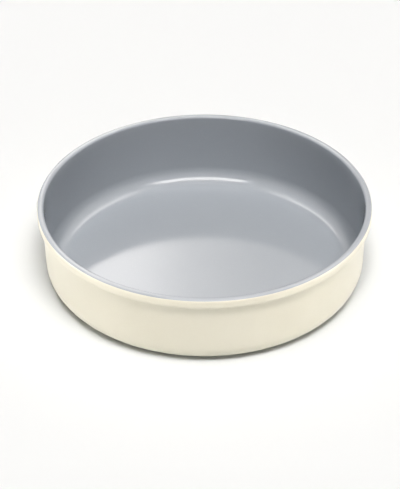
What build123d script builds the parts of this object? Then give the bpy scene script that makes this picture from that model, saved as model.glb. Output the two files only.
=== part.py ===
"""Round cake tin: a pressed steel pan with a rolled rim, a grey ceramic lining inside and cream paint outside.

Lengths are in millimetres, angles in degrees and +Z is up. The origin is the centre of the underside. Each
piece is one section turned about the Z axis. The three sections are drawn from one set of bends, so that the
lining and the paint lie on the steel face to face, and the pressed sheet keeps its thickness round every bend.
"""
from build123d import *
import os
from math import atan2, cos, degrees, radians, sin, sqrt

# The pan
inside_diameter = 228.6  # across the mouth, from lining to lining
overall_height = 57.6  # from the table to the crest of the rim
wall_lean = 1.5  # how far the wall opens outward from upright, so that a cake slides out
corner_radius = 13.0  # inside, where the floor turns up into the wall

# The rolled rim
rim_width = 4.8  # from the wall's inner face to the rim's outer face
rim_height = 7.5  # from the crest down to the underside of the roll
crest_inner_radius = 1.8  # where the wall bends outward onto the flat of the crest
crest_outer_radius = 2.2  # where the crest bends down into the rim's outer face
tuck_length = 1.5  # the sheet's edge, which stands up inside the roll
paint_edge_angle = 36.0  # above level, where the paint meets the lining on the rim's outer shoulder

# The sheet and its coats
steel_thickness = 0.8
lining_thickness = 0.2
paint_thickness = 0.2
paint_creep = 0.3  # how far the paint runs up the slot between the roll and the wall
crease_radius = 0.4  # the paint's fillet where the roll meets the wall
same_place = 0.001  # curves that end nearer than this meet


def at(radius, height):
    """A point of a section, at a distance from the Z axis and a height above the table."""
    return Vector(radius, 0, height)


# The wall's own directions, square to the sheet and up along it, and the direction back to the Z axis
lean_cos, lean_sin = cos(radians(wall_lean)), sin(radians(wall_lean))
outward = at(lean_cos, -lean_sin)
upward = at(lean_sin, lean_cos)
level, up, down, half_turn, full_turn = 0.0, 90.0, -90.0, 180.0, 360.0
inward_angle = half_turn - wall_lean

# The crest's inner bend hangs the wall from the mouth, and its outer bend starts the rim's outer face
rim_radius = inside_diameter / 2 + rim_width
crest = at(inside_diameter / 2 + crest_inner_radius, overall_height - crest_inner_radius)
shoulder = at(rim_radius - crest_outer_radius, overall_height - crest_outer_radius)

# The corner's bend is tangent to the floor and to the wall
floor_height = paint_thickness + steel_thickness + lining_thickness
corner_height = floor_height + corner_radius
corner_reach = crest.dot(outward) - crest_inner_radius - corner_radius
corner = at((corner_reach + corner_height * lean_sin) / lean_cos, corner_height)

# The roll's bend closes on the wall, with one coat of paint between the two
rim_steel_reach = rim_radius - lining_thickness
roll_underside = overall_height - rim_height + paint_thickness
wall_reach = crest.dot(outward) - crest_inner_radius + lining_thickness + steel_thickness
roll_room = rim_steel_reach * lean_cos - roll_underside * lean_sin - wall_reach - paint_thickness
roll_radius = roll_room / (1 + lean_cos + lean_sin)
roll = at(rim_steel_reach - roll_radius, roll_underside + roll_radius)


def bend(centre, radius, start, end):
    """An arc round a centre, from one direction to another."""
    def point(angle):
        return centre + at(cos(radians(angle)), sin(radians(angle))) * radius
    return ThreePointArc(point(start), point((start + end) / 2), point(end))


def floor_line(depth):
    """The flat of the floor, from the axis to the corner, at a depth below the steel's upper face."""
    height = paint_thickness + steel_thickness - depth
    return Line(at(0, height), at(corner.X, height))


def corner_bend(depth):
    """The turn from the floor into the wall, at a depth from the steel's inner face."""
    return bend(corner, corner_radius + lining_thickness + depth, down, -wall_lean)


def crest_bend(depth):
    """The turn from the wall onto the crest, at a depth from the face that the lining lies on."""
    return bend(crest, crest_inner_radius - lining_thickness - depth, inward_angle, up)


def shoulder_bend(depth, start, end):
    """The turn from the crest down the rim's outer face, at a depth from the same face of the sheet."""
    return bend(shoulder, crest_outer_radius - lining_thickness - depth, start, end)


def roll_bend(depth, start, end):
    """The turn under the rim, at a depth from the face that the lining would lie on if it ran so far."""
    return bend(roll, roll_radius - depth, start, end)


def tuck_line(depth):
    """The end of the sheet, from the roll up inside the rim."""
    foot = roll - outward * (roll_radius - depth)
    return Line(foot, foot + upward * tuck_length)


def run(*curves):
    """The curves in order, with a straight stretch wherever one ends short of the next."""
    chain = [curves[0]]
    for curve in curves[1:]:
        if (curve @ 0 - chain[-1] @ 1).length > same_place:
            chain.append(Line(chain[-1] @ 1, curve @ 0))
        chain.append(curve)
    return chain


def turned(upper, lower):
    """The solid between two runs, which both start at the Z axis, turned about it."""
    ends = [Line(upper[0] @ 0, lower[0] @ 0), Line(upper[-1] @ 1, lower[-1] @ 1)]
    return revolve(Face(Wire(upper + lower + ends)), Axis.Z)


def steel_shell():
    """The drawn sheet: floor, corner and wall, then the rim rolled outward, down and up inside itself."""
    def face(depth):
        return run(
            floor_line(depth),
            corner_bend(depth),
            crest_bend(depth),
            shoulder_bend(depth, up, level),
            roll_bend(depth, level, inward_angle - full_turn),
            tuck_line(depth),
        )
    return turned(face(0), face(steel_thickness))


def nonstick_lining():
    """The coat on the food side, from the floor up the wall and over the crest to its outer shoulder."""
    def face(depth):
        return run(
            floor_line(depth),
            corner_bend(depth),
            crest_bend(depth),
            shoulder_bend(depth, up, paint_edge_angle),
        )
    return turned(face(-lining_thickness), face(0))


def outer_paint():
    """The coat outside: under the base, up the wall, across the slot, round the roll and up to the shoulder."""
    clear_of_wall = roll_radius - crease_radius
    clear_of_roll = roll_radius + paint_thickness + crease_radius
    away = outward * -clear_of_wall - upward * sqrt(clear_of_roll**2 - clear_of_wall**2)
    away_angle = degrees(atan2(away.Z, away.X))
    slot_top = roll + upward * paint_creep
    on_steel = run(
        floor_line(steel_thickness),
        corner_bend(steel_thickness),
        Line(slot_top - outward * (roll_radius + paint_thickness), slot_top - outward * roll_radius),
        roll_bend(0, inward_angle - full_turn, level),
        shoulder_bend(0, level, paint_edge_angle),
    )
    on_air = run(
        floor_line(steel_thickness + paint_thickness),
        corner_bend(steel_thickness + paint_thickness),
        bend(roll + away, crease_radius, inward_angle, away_angle + half_turn),
        roll_bend(-paint_thickness, away_angle, level),
        shoulder_bend(-paint_thickness, level, paint_edge_angle),
    )
    return turned(on_steel, on_air)


pieces = {
    "steel_shell": steel_shell(),
    "nonstick_lining": nonstick_lining(),
    "outer_paint": outer_paint(),
}

os.makedirs("parts", exist_ok=True)
for node, piece in pieces.items():
    piece.label = node
    export_step(piece, f"parts/{node}.step")
print(f"roll: {roll_radius:.3f} mm on the steel; foot: {2 * corner.X:.1f} mm across the flat")
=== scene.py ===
from math import atan2, cos, pi, radians, sin, sqrt, tau

import bpy
from bpy.props import FloatProperty, FloatVectorProperty, IntProperty, PointerProperty
from mathutils import Matrix, Vector


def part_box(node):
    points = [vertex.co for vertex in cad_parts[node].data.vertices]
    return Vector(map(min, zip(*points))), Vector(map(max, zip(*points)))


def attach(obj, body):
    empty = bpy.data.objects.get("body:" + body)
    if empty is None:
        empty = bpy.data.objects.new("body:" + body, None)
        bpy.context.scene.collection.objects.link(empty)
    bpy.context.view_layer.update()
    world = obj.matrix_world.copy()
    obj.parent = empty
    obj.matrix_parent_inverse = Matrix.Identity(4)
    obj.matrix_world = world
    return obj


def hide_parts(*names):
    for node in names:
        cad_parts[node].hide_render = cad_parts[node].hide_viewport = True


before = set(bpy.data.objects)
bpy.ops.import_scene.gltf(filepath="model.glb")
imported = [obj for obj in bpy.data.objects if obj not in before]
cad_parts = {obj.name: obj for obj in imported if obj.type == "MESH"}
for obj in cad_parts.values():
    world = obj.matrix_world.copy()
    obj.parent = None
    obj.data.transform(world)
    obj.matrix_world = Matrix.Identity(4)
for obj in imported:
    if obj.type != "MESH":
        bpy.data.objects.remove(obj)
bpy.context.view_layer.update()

bl_info = {
    "name": "Round Cake Tin",
    "version": (1, 0, 0),
    "blender": (4, 5, 0),
    "location": "3D View > Sidebar > Cake Tin",
    "description": "Dresses a round cake tin with its lining and its paint, and sets it in a white studio",
    "category": "Object",
}

LINING_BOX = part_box("nonstick_lining")

SAME_PLACE = 1e-7  # metres: points of a section nearer than this to the one before are left out
ON_AXIS = 1e-9  # metres: a point nearer than this to the axis stays one point when its section is turned
SHARP_EDGE = radians(40.0)  # faces that turn by more than this keep a crisp edge between them
NOISE_MIDDLE = 0.5  # what soft noise is on average
COAT_IOR = 1.5  # ceramic's and paint's
SENSOR_WIDTH = 36.0  # millimetres, for which the focal length is given
FAR_CLIP = 50.0  # metres
TABLE_REACH = 4.0  # metres
TABLE_SLICES = 64


# Sizes and colours


class PanSizes(bpy.types.PropertyGroup):
    """The pan's own sizes, which the lining and the paint both follow."""

    mouth_diameter: FloatProperty(
        name="Mouth", description="Clear width of the mouth, from lining to lining",
        default=0.2286, min=0.05, unit="LENGTH",
    )
    height: FloatProperty(
        name="Height", description="From the table to the crest of the rim",
        default=LINING_BOX[1].z, min=0.02, unit="LENGTH",
    )
    wall_lean: FloatProperty(
        name="Wall Lean", description="How far the wall opens outward from upright",
        default=radians(1.5), min=0.0, max=radians(20.0), subtype="ANGLE",
    )
    corner_radius: FloatProperty(
        name="Corner Radius", description="Inside radius where the floor turns up into the wall",
        default=0.013, min=0.002, unit="LENGTH",
    )
    rim_width: FloatProperty(
        name="Rim Width", description="From the wall's inner face to the rim's outer face",
        default=0.0048, min=0.002, unit="LENGTH",
    )
    rim_height: FloatProperty(
        name="Rim Height", description="From the crest down to the underside of the roll",
        default=0.0075, min=0.003, unit="LENGTH",
    )
    inner_bend: FloatProperty(
        name="Inner Bend", description="Radius of the bend from the wall onto the rim's flat crest",
        default=0.0018, min=0.0001, unit="LENGTH",
    )
    outer_bend: FloatProperty(
        name="Outer Bend", description="Radius of the bend from the crest down the rim's outer face",
        default=0.0022, min=0.0001, unit="LENGTH",
    )
    edge_angle: FloatProperty(
        name="Colour Edge",
        description="Where the paint meets the lining on the rim's outer shoulder, above level",
        default=radians(36.0), min=0.0, max=radians(90.0), subtype="ANGLE",
    )
    steel: FloatProperty(
        name="Steel", description="Thickness of the sheet",
        default=0.0008, min=0.0001, unit="LENGTH",
    )
    coat: FloatProperty(
        name="Coat", description="Thickness of the lining, and of the paint",
        default=0.0002, min=0.00001, unit="LENGTH",
    )
    crease_radius: FloatProperty(
        name="Crease", description="Fillet of paint where the roll meets the wall",
        default=0.0004, min=0.0001, unit="LENGTH",
    )
    creep: FloatProperty(
        name="Creep", description="How far the paint runs up the slot between the roll and the wall",
        default=0.0003, min=0.0, unit="LENGTH",
    )
    slices: IntProperty(
        name="Slices", description="How many slices the tin is turned in",
        default=288, min=24, max=1024,
    )


class LiningFinish(bpy.types.PropertyGroup):
    """The grey ceramic lining."""

    colour: FloatVectorProperty(
        name="Colour", description="Body colour of the ceramic",
        subtype="COLOR", size=3, default=(0.302, 0.332, 0.366), min=0.0, max=1.0,
    )
    fleck: FloatVectorProperty(
        name="Fleck", description="The paler mineral flecks in it",
        subtype="COLOR", size=3, default=(0.342, 0.370, 0.402), min=0.0, max=1.0,
    )
    cloud_pitch: FloatProperty(
        name="Cloud Pitch", description="Distance from one faint cloud of tone to the next",
        default=0.045, min=0.0001, unit="LENGTH",
    )
    fleck_pitch: FloatProperty(
        name="Fleck Pitch", description="Distance from one fleck to the next",
        default=0.0007, min=0.0001, unit="LENGTH",
    )
    roughness: FloatProperty(
        name="Roughness", description="Satin sheen of the cured surface",
        default=0.115, min=0.0, max=1.0, subtype="FACTOR",
    )
    peel: FloatProperty(
        name="Orange Peel", description="Depth of the sprayed surface's fine ripple",
        default=0.0000012, min=0.0, precision=7, unit="LENGTH",
    )
    peel_pitch: FloatProperty(
        name="Peel Pitch", description="Distance from one ripple to the next",
        default=0.0016, min=0.0001, unit="LENGTH",
    )


class PaintFinish(bpy.types.PropertyGroup):
    """The cream paint."""

    colour: FloatVectorProperty(
        name="Colour", description="Body colour of the paint",
        subtype="COLOR", size=3, default=(0.644, 0.621, 0.518), min=0.0, max=1.0,
    )
    thin: FloatVectorProperty(
        name="Thin", description="The slightly deeper tone where the spray lies thinner",
        subtype="COLOR", size=3, default=(0.622, 0.598, 0.492), min=0.0, max=1.0,
    )
    cloud_pitch: FloatProperty(
        name="Cloud Pitch", description="Distance from one thin patch of spray to the next",
        default=0.03, min=0.0001, unit="LENGTH",
    )
    speck_pitch: FloatProperty(
        name="Speck Pitch", description="Distance from one speck of the spray to the next",
        default=0.0009, min=0.0001, unit="LENGTH",
    )
    roughness: FloatProperty(
        name="Roughness", description="Satin sheen of the paint",
        default=0.30, min=0.0, max=1.0, subtype="FACTOR",
    )
    peel: FloatProperty(
        name="Orange Peel", description="Depth of the sprayed surface's fine ripple",
        default=0.0000035, min=0.0, precision=7, unit="LENGTH",
    )
    peel_pitch: FloatProperty(
        name="Peel Pitch", description="Distance from one ripple to the next",
        default=0.0012, min=0.0001, unit="LENGTH",
    )


class SteelFinish(bpy.types.PropertyGroup):
    """The bare sheet between the coats."""

    colour: FloatVectorProperty(
        name="Colour", description="Reflection colour of the aluminised sheet",
        subtype="COLOR", size=3, default=(0.62, 0.63, 0.64), min=0.0, max=1.0,
    )
    roughness: FloatProperty(
        name="Roughness", description="Sheen of the rolled sheet",
        default=0.32, min=0.0, max=1.0, subtype="FACTOR",
    )
    patch_pitch: FloatProperty(
        name="Patch Pitch", description="Distance from one cloudy patch of the aluminised face to the next",
        default=0.012, min=0.0001, unit="LENGTH",
    )
    draw_pitch: FloatProperty(
        name="Draw Pitch", description="Distance between the fine draw lines round the wall",
        default=0.0009, min=0.0001, unit="LENGTH",
    )
    draw_depth: FloatProperty(
        name="Draw Depth", description="Depth of the draw lines",
        default=0.000002, min=0.0, precision=7, unit="LENGTH",
    )


class StudioLook(bpy.types.PropertyGroup):
    """The white studio, its lamps and the camera."""

    side_level: FloatProperty(
        name="Sides", description="Brightness of the low white cards to the left and right",
        default=76.0, min=0.0,
    )
    side_swing: FloatProperty(
        name="Side Swing",
        description="How much brighter the left card is, and dimmer the right one, than the two on average",
        default=0.12, min=-1.0, max=1.0,
    )
    card_level: FloatProperty(
        name="Front Card", description="Brightness of the low white card behind the camera",
        default=9.0, min=0.0,
    )
    top_level: FloatProperty(
        name="Overhead",
        description="Brightness of the light right overhead, in front of the tin and more to its left",
        default=8.5, min=0.0,
    )
    key_level: FloatProperty(
        name="Key", description="Brightness of the long light above the camera, as it lights the tin",
        default=24.0, min=0.0,
    )
    strip_level: FloatProperty(
        name="Strip",
        description="Brightness of the long light above the camera, as it shows in the tin's gloss",
        default=11.0, min=0.0,
    )
    rear_level: FloatProperty(
        name="Rear", description="Level of the white wall behind the tin, which shows in its gloss",
        default=1.4, min=0.0,
    )
    front_level: FloatProperty(
        name="Front", description="Level of the studio behind the camera, which shows in the tin's gloss",
        default=1.1, min=0.0,
    )
    ceiling_level: FloatProperty(
        name="Ceiling",
        description="Brightness of the white ceiling above and behind, which shows in the tin's gloss",
        default=8.0, min=0.0,
    )
    window_level: FloatProperty(
        name="Window",
        description="Brightness of the card behind the tin, to the left, which shows in its gloss",
        default=6.6, min=0.0,
    )
    light_colour: FloatVectorProperty(
        name="Light", description="Colour of all the lights",
        subtype="COLOR", size=3, default=(1.0, 0.960, 0.930), min=0.0, max=1.0,
    )
    backdrop: FloatVectorProperty(
        name="Backdrop", description="White seen past the table",
        subtype="COLOR", size=3, default=(0.973, 0.973, 0.957), min=0.0, max=1.0,
    )
    # The near colour is painted shade: a darker tone on the table round the foot of the tin, where its
    # shadow falls.
    table_painted_shade: FloatVectorProperty(
        name="Table Near", description="Colour of the white table round the foot of the tin",
        subtype="COLOR", size=3, default=(0.702, 0.730, 0.748), min=0.0, max=1.0,
    )
    table_far: FloatVectorProperty(
        name="Table Far", description="Colour of the white table farther out",
        subtype="COLOR", size=3, default=(0.772, 0.800, 0.816), min=0.0, max=1.0,
    )
    # Where the painted shade round the tin's foot starts to fade, and where it has gone.
    shade_full_reach: FloatProperty(
        name="Deep Reach",
        description="Distance from the axis at which the table's near colour starts to turn",
        default=0.112, min=0.0, unit="LENGTH",
    )
    shade_gone_reach: FloatProperty(
        name="Pale Reach", description="Distance from the axis at which the table has its far colour",
        default=0.165, min=0.0, unit="LENGTH",
    )
    focal_length: FloatProperty(
        name="Focal Length", description="Focal length on a 36 mm sensor, along the picture's longer side",
        default=147.667, min=10.0,
    )
    distance: FloatProperty(
        name="Distance", description="From the camera to the middle of the tin",
        default=1.4449, min=0.1, unit="LENGTH",
    )
    elevation: FloatProperty(
        name="Elevation", description="How far the camera looks down",
        default=radians(34.914), subtype="ANGLE",
    )
    aim_height: FloatProperty(
        name="Aim Height", description="Height of the point on the axis that the distance is taken from",
        default=0.025, unit="LENGTH",
    )
    swing: FloatProperty(
        name="Swing", description="How far the camera then turns to the left",
        default=radians(0.1294), subtype="ANGLE",
    )
    dip: FloatProperty(
        name="Dip", description="How far the camera then tips down",
        default=radians(0.1744), subtype="ANGLE",
    )


# Shader language


class Socket:
    """One output of a shader tree, which can be used in plain arithmetic."""

    def __init__(self, sheet, link):
        self.sheet = sheet
        self.link = link

    def maths(self, operation, *others):
        """The result of a Math node that takes this output first."""
        return self.sheet.node("ShaderNodeMath", {"operation": operation}, dict(enumerate((self, *others))))

    def __add__(self, other):
        return self.maths("ADD", other)

    __radd__ = __add__

    def __mul__(self, other):
        return self.maths("MULTIPLY", other)

    __rmul__ = __mul__

    def __sub__(self, other):
        return self.maths("SUBTRACT", other)

    def __rsub__(self, other):
        return self.sheet.node("ShaderNodeMath", {"operation": "SUBTRACT"}, {0: other, 1: self})

    def __neg__(self):
        return self * -1.0

    def step(self, low, high):
        """0 below low, 1 above high and a smooth rise between, or the reverse where low is above high."""
        return self.sheet.node(
            "ShaderNodeMapRange", {"interpolation_type": "SMOOTHSTEP"},
            {"Value": self, "From Min": low, "From Max": high, "To Min": 0.0, "To Max": 1.0},
        )

    def between(self, start, full, waning, gone):
        """0 up to the start, 1 from full to waning and 0 again once it has gone, with smooth slopes."""
        return self.step(start, full) * self.step(gone, waning)


class Sheet:
    """A shader tree that is being written."""

    def __init__(self, tree):
        self.tree = tree
        tree.nodes.clear()

    def node(self, kind, settings=None, inputs=None, output=0):
        """Adds a node, its settings first, then its inputs' values or links. Returns one output of it."""
        made = self.tree.nodes.new(kind)
        for name, value in (settings or {}).items():
            setattr(made, name, value)
        for name, value in (inputs or {}).items():
            if isinstance(value, Socket):
                self.tree.links.new(value.link, made.inputs[name])
            else:
                made.inputs[name].default_value = value
        return Socket(self, made.outputs[output]) if len(made.outputs) else None

    def blend(self, share, first, second):
        """A colour between two, by a share."""
        return self.node(
            "ShaderNodeMix", {"data_type": "RGBA"},
            {0: share, 6: opaque(first), 7: opaque(second)}, output=2,
        )

    def spot(self):
        """The place on the surface, in metres."""
        return self.node("ShaderNodeTexCoord", output="Object")

    def grain(self, where, pitch, detail):
        """Soft noise from 0 to 1 whose lumps lie about one pitch apart, with finer ones as detail rises."""
        return self.node(
            "ShaderNodeTexNoise", {"noise_dimensions": "3D"},
            {"Vector": where, "Scale": 1.0 / pitch, "Detail": detail},
        )

    def finish(self, shader, target="ShaderNodeOutputMaterial"):
        """Ends the tree with a shader."""
        self.node(target, None, {"Surface": shader})


def opaque(colour):
    """A colour with the alpha that a colour socket takes."""
    return (*colour, 1.0)


# The tin's section


class Section:
    """The tin's half section, worked out from its sizes. Points are distances from the axis and heights."""

    LEVEL, DOWN, UP, HALF_TURN, FULL_TURN = 0.0, -pi / 2, pi / 2, pi, tau

    # The turn from one point of a bend to the next
    STRIDE, ROLL_STRIDE, CREASE_STRIDE = radians(5.0), radians(8.0), radians(12.0)

    # Where the straight runs are divided, as shares of their length
    FLOOR_SHARES = (0.0, 0.2, 0.4, 0.6, 0.8, 0.95)
    LINED_WALL_SHARES, PAINTED_WALL_SHARES = (0.33, 0.67), (0.3, 0.6)

    def __init__(self, pan):
        self.pan = pan
        lean_cos, lean_sin = cos(pan.wall_lean), sin(pan.wall_lean)
        self.outward = Vector((lean_cos, -lean_sin))
        self.upward = Vector((lean_sin, lean_cos))
        self.inward_angle = self.HALF_TURN - pan.wall_lean
        rim_radius = pan.mouth_diameter / 2 + pan.rim_width
        self.crest = Vector((pan.mouth_diameter / 2 + pan.inner_bend, pan.height - pan.inner_bend))
        self.shoulder = Vector((rim_radius - pan.outer_bend, pan.height - pan.outer_bend))
        corner_height = 2 * pan.coat + pan.steel + pan.corner_radius
        corner_reach = self.crest.dot(self.outward) - pan.inner_bend - pan.corner_radius
        self.corner = Vector(((corner_reach + corner_height * lean_sin) / lean_cos, corner_height))
        steel_reach = rim_radius - pan.coat
        underside = pan.height - pan.rim_height + pan.coat
        wall_reach = self.crest.dot(self.outward) - pan.inner_bend + pan.coat + pan.steel
        room = steel_reach * lean_cos - underside * lean_sin - wall_reach - pan.coat
        self.roll_radius = room / (1 + lean_cos + lean_sin)
        self.roll = Vector((steel_reach - self.roll_radius, underside + self.roll_radius))

    def bend(self, centre, radius, start, end, stride=STRIDE):
        """The points of an arc round a centre, from one direction to another."""
        count = max(2, round(abs(end - start) / stride))
        turns = [start + (end - start) * i / count for i in range(count + 1)]
        return [centre + Vector((cos(turn), sin(turn))) * radius for turn in turns]

    def floor(self, depth):
        """The flat of the floor from the axis to the corner, at a depth below the steel's upper face."""
        height = self.pan.coat + self.pan.steel - depth
        return [Vector((self.corner.x * share, height)) for share in self.FLOOR_SHARES]

    def corner_bend(self, depth):
        """The turn from the floor into the wall, at a depth from the steel's inner face."""
        radius = self.pan.corner_radius + self.pan.coat + depth
        return self.bend(self.corner, radius, self.DOWN, -self.pan.wall_lean)

    def crest_bend(self, depth):
        """The turn from the wall onto the crest, at a depth from the face that the lining lies on."""
        return self.bend(self.crest, self.pan.inner_bend - self.pan.coat - depth, self.inward_angle, self.UP)

    def shoulder_bend(self, depth, start, end):
        """The turn from the crest down the rim's outer face, at a depth from the same face of the sheet."""
        return self.bend(self.shoulder, self.pan.outer_bend - self.pan.coat - depth, start, end)

    def roll_bend(self, depth, start, end):
        """The turn under the rim, at a depth from the same face of the sheet."""
        return self.bend(self.roll, self.roll_radius - depth, start, end, self.ROLL_STRIDE)

    def wall(self, depth, shares):
        """Points up the straight wall, by shares of its length, at a depth from the steel's inner face."""
        foot = self.corner + self.outward * (self.pan.corner_radius + self.pan.coat + depth)
        rise = (self.crest - self.corner).dot(self.upward)
        return [foot + self.upward * (rise * share) for share in shares]

    def lining(self):
        """The food side's coat: up its free face to the rim's outer shoulder, and back along the steel."""
        def face(depth):
            return (
                self.floor(depth) + self.corner_bend(depth) + self.wall(depth, self.LINED_WALL_SHARES)
                + self.crest_bend(depth) + self.shoulder_bend(depth, self.UP, self.pan.edge_angle)
            )
        return face(-self.pan.coat) + face(0)[::-1]

    def paint(self):
        """The coat outside: along the steel up to the shoulder, and back over its free face to the base."""
        pan, steel, full = self.pan, self.pan.steel, self.pan.steel + self.pan.coat
        clear_of_wall = self.roll_radius - pan.crease_radius
        clear_of_roll = self.roll_radius + pan.coat + pan.crease_radius
        away = -self.outward * clear_of_wall - self.upward * sqrt(clear_of_roll**2 - clear_of_wall**2)
        away_angle = atan2(away.y, away.x)
        crease = self.bend(
            self.roll + away, pan.crease_radius,
            self.inward_angle, away_angle + self.HALF_TURN, self.CREASE_STRIDE,
        )
        slot_top = self.roll + self.upward * pan.creep
        slot = [slot_top - self.outward * reach for reach in (self.roll_radius + pan.coat, self.roll_radius)]
        on_steel = (
            self.floor(steel) + self.corner_bend(steel) + self.wall(steel, self.PAINTED_WALL_SHARES) + slot
            + self.roll_bend(0, self.inward_angle - self.FULL_TURN, self.LEVEL)
            + self.shoulder_bend(0, self.LEVEL, pan.edge_angle)
        )
        on_air = (
            self.floor(full) + self.corner_bend(full) + self.wall(full, self.PAINTED_WALL_SHARES) + crease
            + self.roll_bend(-pan.coat, away_angle, self.LEVEL)
            + self.shoulder_bend(-pan.coat, self.LEVEL, pan.edge_angle)
        )
        return on_steel + on_air[::-1]


def turned(name, section, slices):
    """A closed section turned about the Z axis. Each end that lies on the axis becomes one point."""
    kept = [p for i, p in enumerate(section) if i == 0 or (p - section[i - 1]).length > SAME_PLACE]
    points, rings = [], []
    for p in kept:
        if p.x < ON_AXIS:
            rings.append([len(points)] * slices)
            points.append((0.0, 0.0, p.y))
            continue
        rings.append(list(range(len(points), len(points) + slices)))
        points += [(p.x * cos(tau * i / slices), p.x * sin(tau * i / slices), p.y) for i in range(slices)]
    faces = []
    for one, other in zip(rings, rings[1:]):
        for i in range(slices):
            j = (i + 1) % slices
            corners = [one[i], one[j], other[j], other[i]]
            if len(set(corners)) > 2:
                faces.append(list(dict.fromkeys(corners)))
    mesh = bpy.data.meshes.new(name)
    mesh.from_pydata(points, [], faces)
    mesh.validate()
    mesh.shade_smooth()
    mesh.set_sharp_from_angle(angle=SHARP_EDGE)
    piece = bpy.data.objects.new(name, mesh)
    bpy.context.scene.collection.objects.link(piece)
    return piece


# Finishes


def material(name):
    """A new material and the sheet that its shader is written on."""
    made = bpy.data.materials.new(name)
    made.use_nodes = True
    return made, Sheet(made.node_tree)


def ripple(sheet, where, pitch, depth):
    """The normal of a sprayed coat: a fine ripple, one lump to a pitch."""
    height = sheet.grain(where, pitch, detail=1.0)
    return sheet.node("ShaderNodeBump", None, {"Distance": depth, "Height": height})


def ceramic_finish(look):
    """Grey ceramic: a satin face with faint clouds, paler flecks and the ripple of a sprayed coat."""
    made, sheet = material("grey_ceramic_lining")
    where = sheet.spot()
    fleck_edge, tone_range = (0.60, 0.72), (-0.2, 1.2)
    plain_tone, cloud_tone, fleck_tone = 0.25, 0.5, 0.45
    cloud_sheen, fleck_sheen = 0.04, 0.03
    clouds = sheet.grain(where, look.cloud_pitch, detail=3.0) - NOISE_MIDDLE
    flecks = sheet.grain(where, look.fleck_pitch, detail=1.0).step(*fleck_edge)
    paler = plain_tone + clouds * cloud_tone + flecks * fleck_tone
    sheet.finish(sheet.node("ShaderNodeBsdfPrincipled", None, {
        "Base Color": sheet.blend(paler.step(*tone_range), look.colour, look.fleck),
        "Roughness": look.roughness + clouds * cloud_sheen + flecks * fleck_sheen,
        "Normal": ripple(sheet, where, look.peel_pitch, look.peel),
        "IOR": COAT_IOR,
    }))
    return made


def paint_finish(look):
    """Cream paint: satin, deeper where the spray lies thinner, with the ripple of a sprayed coat."""
    made, sheet = material("cream_paint")
    where = sheet.spot()
    cloud_edge, speck_edge = (0.3, 0.7), (0.35, 0.65)
    cloud_tone, speck_tone, speck_sheen = 0.7, 0.3, 0.06
    clouds = sheet.grain(where, look.cloud_pitch, detail=3.0)
    specks = sheet.grain(where, look.speck_pitch, detail=1.0)
    thicker = clouds.step(*cloud_edge) * cloud_tone + specks.step(*speck_edge) * speck_tone
    sheet.finish(sheet.node("ShaderNodeBsdfPrincipled", None, {
        "Base Color": sheet.blend(thicker, look.thin, look.colour),
        "Roughness": look.roughness + (specks - NOISE_MIDDLE) * speck_sheen,
        "Normal": ripple(sheet, where, look.peel_pitch, look.peel),
        "IOR": COAT_IOR,
    }))
    return made


def steel_finish(look):
    """Steel sheet: fine draw lines round the wall and cloudy patches of the aluminised face."""
    made, sheet = material("aluminised_steel")
    where = sheet.spot()
    patch_edge, patch_shade, line_sheen = (0.35, 0.65), 0.86, 0.12
    height = sheet.node("ShaderNodeSeparateXYZ", None, {"Vector": where}, output="Z")
    lines = sheet.node(
        "ShaderNodeTexNoise", {"noise_dimensions": "1D"},
        {"W": height * (1.0 / look.draw_pitch), "Detail": 2.0},
    )
    patches = sheet.grain(where, look.patch_pitch, detail=4.0)
    darker = tuple(part * patch_shade for part in look.colour)
    sheet.finish(sheet.node("ShaderNodeBsdfPrincipled", None, {
        "Base Color": sheet.blend(patches.step(*patch_edge), darker, look.colour),
        "Metallic": 1.0,
        "Roughness": look.roughness + (lines - NOISE_MIDDLE) * line_sheen,
        "Normal": sheet.node("ShaderNodeBump", None, {"Distance": look.draw_depth, "Height": lines}),
    }))
    return made


# Where the lights lie in the sky


def angles(*degrees):
    """Angles given in degrees, as radians."""
    return tuple(radians(angle) for angle in degrees)


# Four angles say where a light starts, is full, wanes and has gone, and two say where it starts and is full.
# Heights are above level. Widths run from the picture's left to its right, with 0 straight over the camera,
# or for the window straight behind the tin. Plain pairs are shares of the sky's radius along one axis.

# The lights on the tin
KEY_WIDTH, KEY_HEIGHT = angles(-30, -14, 14, 78), angles(54, 62, 72, 78)
TOP_HEIGHT, TOP_BACK, TOP_SLOPE = angles(72, 78), (0.12, 0.0), (0.15, -0.15)
TOP_RIGHT_SHARE = 0.43  # how bright the overhead light is at its right, where its left is 1
CARD_HEIGHT, SIDE_CARDS, FRONT_CARD = angles(2.2, 0.6), (0.82, 0.966), (-0.64, -0.77)

# What shows in the gloss
STRIP_WIDTH, STRIP_HEIGHT = angles(-44, -34, 44, 54), angles(45, 49, 64, 68)
CEILING_HEIGHT, CEILING_FRONT, CEILING_SIDES = angles(37, 45, 58, 72), (-0.14, 0.0), (0.75, 0.2)
WINDOW_HEIGHT, WINDOW_LEFT = angles(24, 28, 42, 48), angles(-14, -8)
WINDOW_EDGE, WINDOW_GLOW = angles(-0.6, -2.4), angles(3.2, -1.2)
WINDOW_EDGE_SHARE = 0.72  # how much of the window ends at its crisp edge, past which the rest fades out
REAR_WALL = (-0.40, 0.20)  # where the front wall's level turns into the rear wall's


# Operators


class TIN_OT_lining(bpy.types.Operator):
    """Make the grey ceramic lining, from the floor up the wall and over the crest of the rim"""

    bl_idname = "tin.lining"
    bl_label = "Ceramic Lining"

    def execute(self, context):
        pan = context.scene.tin_pan
        piece = turned("ceramic_lining", Section(pan).lining(), pan.slices)
        piece.data.materials.append(ceramic_finish(context.scene.tin_lining))
        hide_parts("nonstick_lining")
        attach(piece, "root")
        return {"FINISHED"}


class TIN_OT_paint(bpy.types.Operator):
    """Make the cream paint, under the base, up the wall and round the roll to the rim's shoulder"""

    bl_idname = "tin.paint"
    bl_label = "Cream Paint"

    def execute(self, context):
        pan = context.scene.tin_pan
        piece = turned("cream_paint_coat", Section(pan).paint(), pan.slices)
        piece.data.materials.append(paint_finish(context.scene.tin_paint))
        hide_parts("outer_paint")
        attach(piece, "root")
        return {"FINISHED"}


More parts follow.
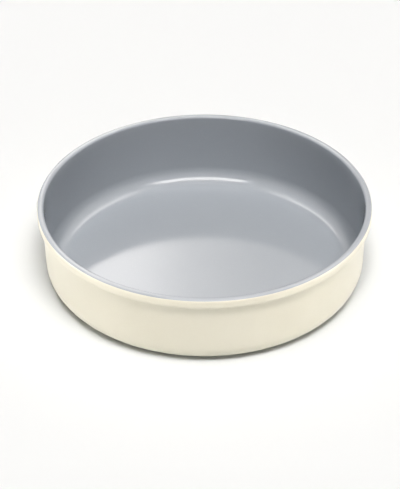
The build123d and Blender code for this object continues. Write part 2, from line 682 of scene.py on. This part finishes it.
class TIN_OT_steel(bpy.types.Operator):
    """Give the steel sheet between the coats its drawn and aluminised finish"""

    bl_idname = "tin.steel"
    bl_label = "Steel Sheet"

    def execute(self, context):
        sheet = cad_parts["steel_shell"]
        sheet.data.materials.clear()
        sheet.data.materials.append(steel_finish(context.scene.tin_steel))
        return {"FINISHED"}


class TIN_OT_studio(bpy.types.Operator):
    """Set the tin on a white table in a white studio and aim the camera at it"""

    bl_idname = "tin.studio"
    bl_label = "White Studio"

    def execute(self, context):
        look = context.scene.tin_studio
        self.table(context, look)
        self.surroundings(context, look)
        self.camera(context, look)
        context.scene.view_settings.view_transform = "Standard"
        return {"FINISHED"}

    def table(self, context, look):
        """A round white table with painted shade round the foot of the tin: darker near the tin, turning to
        its far colour farther out.
        """
        mesh = bpy.data.meshes.new("white_table")
        turns = [tau * i / TABLE_SLICES for i in range(TABLE_SLICES)]
        edge = [(TABLE_REACH * cos(turn), TABLE_REACH * sin(turn), 0.0) for turn in turns]
        mesh.from_pydata(edge, [], [list(range(TABLE_SLICES))])
        table = bpy.data.objects.new("white_table", mesh)
        context.scene.collection.objects.link(table)
        made, sheet = material("white_table")
        away = sheet.node(
            "ShaderNodeVectorMath", {"operation": "LENGTH"}, {0: sheet.spot()}, output="Value",
        )
        # The near shader is painted shade round the tin's foot; it turns into the far one between the two
        # reaches.
        near, far = (
            sheet.node("ShaderNodeBsdfDiffuse", None, {"Color": opaque(tone)})
            for tone in (look.table_painted_shade, look.table_far)
        )
        sheet.finish(sheet.node("ShaderNodeMixShader", None, {
            0: away.step(look.shade_full_reach, look.shade_gone_reach), 1: near, 2: far,
        }))
        mesh.materials.append(made)

    def surroundings(self, context, look):
        """The sky. It lights the tin, shows in its gloss and is the white seen past the table."""
        world = bpy.data.worlds.new("white_studio")
        world.use_nodes = True
        context.scene.world = world
        sheet = Sheet(world.node_tree)
        way = sheet.node("ShaderNodeTexCoord", output="Generated")
        x, y, z = (sheet.node("ShaderNodeSeparateXYZ", None, {"Vector": way}, output=i) for i in range(3))
        aside, rise = x.maths("ABSOLUTE"), z.maths("ARCSINE")
        lighting = self.lighting(look, x, y, aside, rise)
        gloss = self.gloss(look, x, y, aside, rise)
        paths = ("Is Camera Ray", "Is Glossy Ray", "Is Transmission Ray")
        camera, glossy, clear = (sheet.node("ShaderNodeLightPath", output=path) for path in paths)
        plain = sheet.node("ShaderNodeBackground", None, {
            "Color": opaque(look.light_colour), "Strength": lighting,
        })
        shown = sheet.node("ShaderNodeBackground", None, {
            "Color": sheet.blend(camera, look.light_colour, look.backdrop),
            "Strength": gloss + camera * (1.0 - gloss),
        })
        seen = (camera + glossy + clear).maths("MINIMUM", 1.0)
        sky = sheet.node("ShaderNodeMixShader", None, {0: seen, 1: plain, 2: shown})
        sheet.finish(sky, "ShaderNodeOutputWorld")

    def lighting(self, look, x, y, aside, rise):
        """What lights the tin: a long light, one overhead, and low cards at the left, right and front."""
        ahead = x.maths("ARCTAN2", -y)
        key = ahead.between(*KEY_WIDTH) * rise.between(*KEY_HEIGHT)
        slope = x.step(*TOP_SLOPE) * (1.0 - TOP_RIGHT_SHARE) + TOP_RIGHT_SHARE
        top = rise.step(*TOP_HEIGHT) * y.step(*TOP_BACK) * slope
        sides = aside.step(*SIDE_CARDS) * (1.0 - x * look.side_swing) * look.side_level
        cards = rise.step(*CARD_HEIGHT) * (sides + y.step(*FRONT_CARD) * look.card_level)
        return cards + top * look.top_level + key * look.key_level

    def gloss(self, look, x, y, aside, rise):
        """What shows in the gloss: walls, a ceiling, the long light and a card behind to the left."""
        ahead, behind = x.maths("ARCTAN2", -y), x.maths("ARCTAN2", y)
        walls = y.step(*REAR_WALL) * (look.rear_level - look.front_level) + look.front_level
        strip = ahead.between(*STRIP_WIDTH) * rise.between(*STRIP_HEIGHT)
        ceiling = rise.between(*CEILING_HEIGHT) * y.step(*CEILING_FRONT) * aside.step(*CEILING_SIDES)
        edge = behind.step(*WINDOW_EDGE) * WINDOW_EDGE_SHARE
        glow = behind.step(*WINDOW_GLOW) * (1.0 - WINDOW_EDGE_SHARE)
        window = (edge + glow) * behind.step(*WINDOW_LEFT) * rise.between(*WINDOW_HEIGHT)
        return (
            walls + ceiling * (look.ceiling_level - look.rear_level)
            + strip * (look.strip_level - look.front_level) + window * (look.window_level - look.rear_level)
        )

    def camera(self, context, look):
        """The camera, in front of the tin and above it, aimed at its axis, then tipped and turned."""
        back = Vector((0.0, -cos(look.elevation), sin(look.elevation)))
        eye = Vector((0.0, 0.0, look.aim_height)) + back * look.distance
        ahead, side = -back, Vector((1.0, 0.0, 0.0))
        up = side.cross(ahead)
        ahead = ahead * cos(look.dip) - up * sin(look.dip)
        up = side.cross(ahead)
        ahead = ahead * cos(look.swing) - side * sin(look.swing)
        side = ahead.cross(up)
        lens = bpy.data.cameras.new("camera")
        lens.sensor_width = SENSOR_WIDTH
        lens.lens = look.focal_length
        lens.clip_end = FAR_CLIP
        camera = bpy.data.objects.new("camera", lens)
        camera.matrix_world = Matrix.Translation(eye) @ Matrix((side, up, -ahead)).transposed().to_4x4()
        context.scene.collection.objects.link(camera)
        context.scene.camera = camera


class TIN_PT_panel(bpy.types.Panel):
    """Sizes and finishes of the tin, and the steps that make it"""

    bl_idname = "TIN_PT_panel"
    bl_label = "Round Cake Tin"
    bl_space_type = "VIEW_3D"
    bl_region_type = "UI"
    bl_category = "Cake Tin"

    def draw(self, context):
        for place, (title, _) in GROUPS.items():
            box = self.layout.box()
            box.label(text=title)
            settings = getattr(context.scene, place)
            for name in settings.__annotations__:
                box.prop(settings, name)
        for step in STEPS:
            self.layout.operator(step.bl_idname)


STEPS = (TIN_OT_lining, TIN_OT_paint, TIN_OT_steel, TIN_OT_studio)
GROUPS = {
    "tin_pan": ("Pan", PanSizes),
    "tin_lining": ("Lining", LiningFinish),
    "tin_paint": ("Paint", PaintFinish),
    "tin_steel": ("Steel", SteelFinish),
    "tin_studio": ("Studio", StudioLook),
}
KINDS = (*(group for _, group in GROUPS.values()), *STEPS, TIN_PT_panel)


def register():
    for kind in KINDS:
        bpy.utils.register_class(kind)
    for place, (_, group) in GROUPS.items():
        setattr(bpy.types.Scene, place, PointerProperty(type=group))


def unregister():
    for place in GROUPS:
        delattr(bpy.types.Scene, place)
    for kind in reversed(KINDS):
        bpy.utils.unregister_class(kind)


def main():
    register()
    bpy.ops.tin.lining()
    bpy.ops.tin.paint()
    bpy.ops.tin.steel()
    bpy.ops.tin.studio()


if __name__ == "__main__":
    main()
